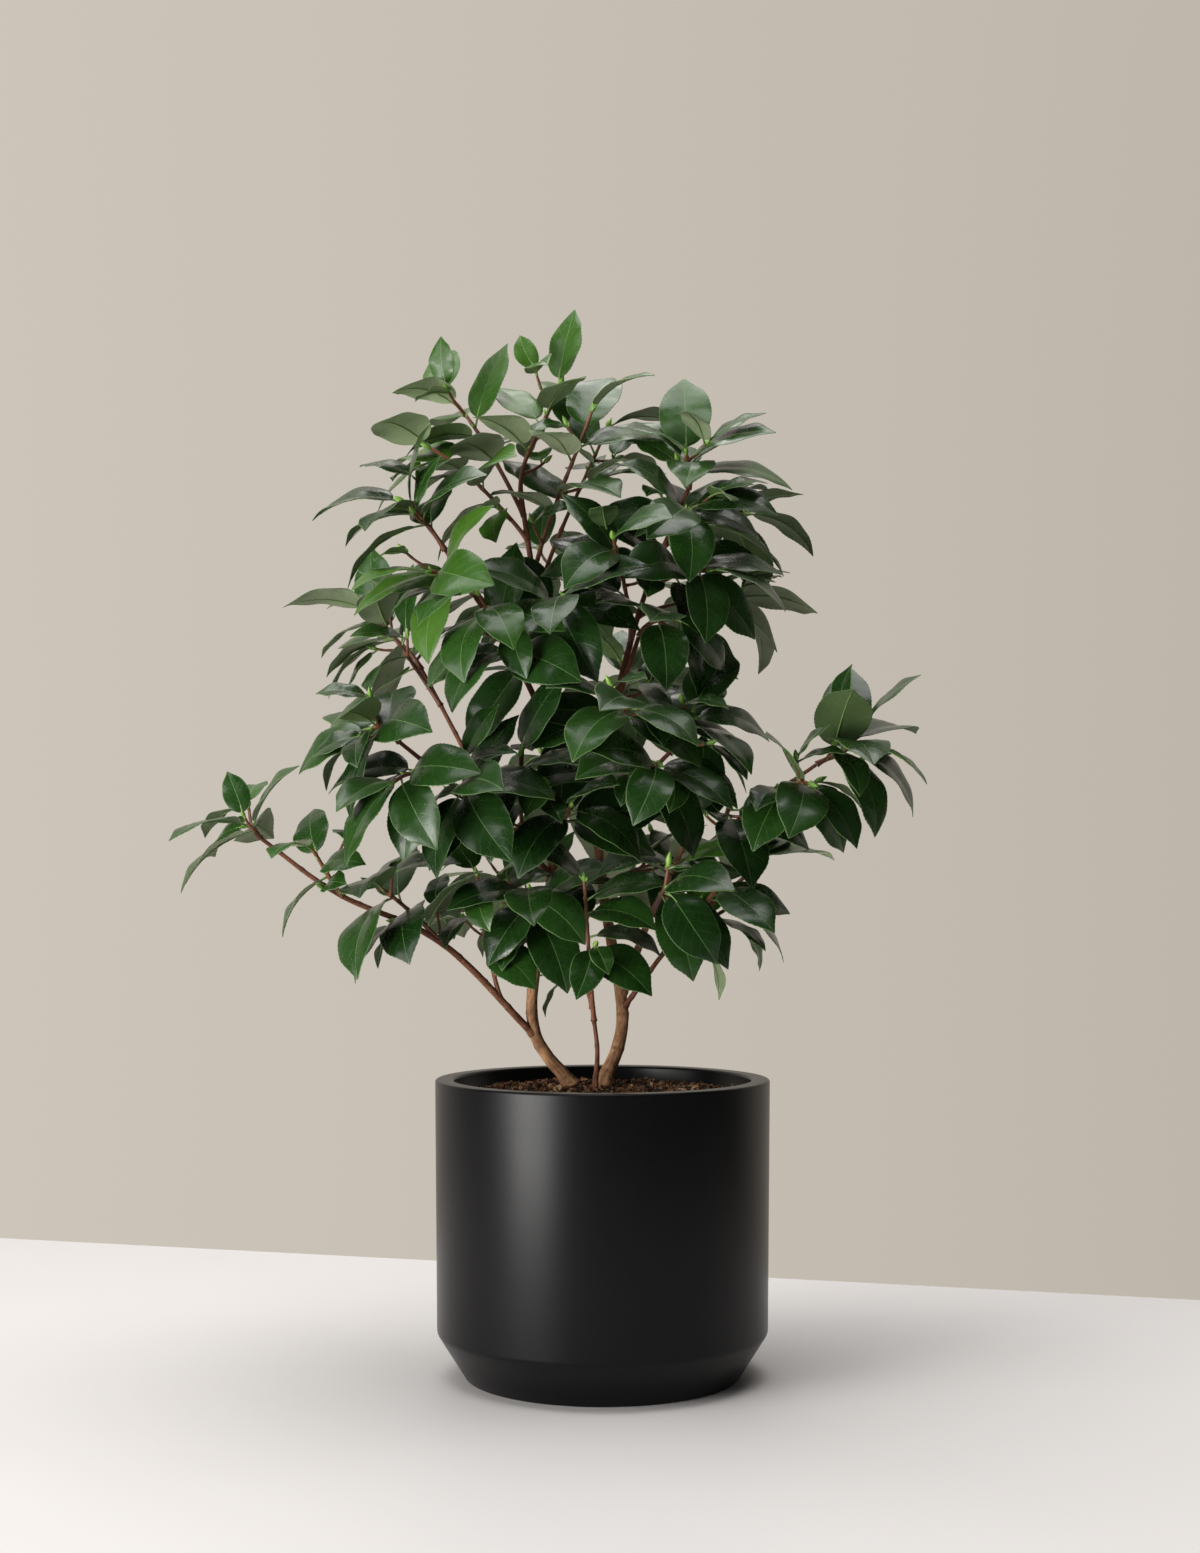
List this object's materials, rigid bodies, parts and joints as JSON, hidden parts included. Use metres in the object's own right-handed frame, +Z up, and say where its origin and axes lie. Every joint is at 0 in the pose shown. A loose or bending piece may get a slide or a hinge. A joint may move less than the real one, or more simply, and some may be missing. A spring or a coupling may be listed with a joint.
{
  "type": "potted camellia shrub",
  "caption": "Evergreen camellia shrub with leaning woody stems, spreading boughs and glossy leaves, growing in a round black pot that stands on its flat underside.",
  "frame": {"origin": "middle of the pot's flat underside", "axes": "+Z up, along the plant's height; +X towards the side of the single long low right bough; -Y towards the side seen in the picture"},
  "size_m": [0.5749, 0.3622, 0.8365],
  "materials": {
    "pot": "matte black with a soft sheen",
    "soil": "loose bark and peat crumbs",
    "bark": "dull tan-brown bark",
    "leaves": "glossy deep green leaves on reddish shoots"
  },
  "bodies": {
    "root": {"pot": "pot", "soil": "soil", "left_stem": "bark", "right_stem": "bark", "thin_stem": "bark", "low_left_bough": "bark", "mid_left_bough": "bark", "rear_left_bough": "bark", "upper_left_bough": "bark", "cross_bough": "bark", "right_bough": "bark", "long_right_bough": "bark", "low_right_bough": "bark", "top_shoot": "leaves", "top_left_shoot": "leaves", "left_crown": "leaves", "top_middle_shoot": "leaves", "top_rear_shoot": "leaves", "right_crown": "leaves", "right_shoulder": "leaves", "right_shoulder_rear": "leaves", "right_flank": "leaves", "right_flank_rear": "leaves", "right_lower_flank": "leaves", "centre_front_high": "leaves", "centre_front": "leaves", "centre_front_low": "leaves", "upper_left_tip": "leaves", "upper_left_front": "leaves", "upper_left_inner": "leaves", "inner_left_front": "leaves", "rear_left_tip": "leaves", "rear_left_high": "leaves", "mid_left_tip": "leaves", "mid_left_outer": "leaves", "mid_left_inner": "leaves", "inner_left_low": "leaves", "far_left_tip": "leaves", "far_left_mid": "leaves", "near_left_spray": "leaves", "low_left_spray": "leaves", "low_centre_spray": "leaves", "low_front_spray": "leaves", "thin_stem_spray": "leaves", "middle_left_spray": "leaves", "right_bough_tip": "leaves", "right_bough_front": "leaves", "long_right_tip": "leaves", "long_right_outer": "leaves", "long_right_mid": "leaves", "long_right_upright": "leaves", "long_right_front": "leaves", "low_right_tip": "leaves", "low_right_mid": "leaves", "low_right_low": "leaves", "rear_low_left": "leaves", "rear_middle": "leaves", "rear_high_left": "leaves", "rear_low_right": "leaves", "rear_high_right": "leaves"}
  },
  "joints": []
}
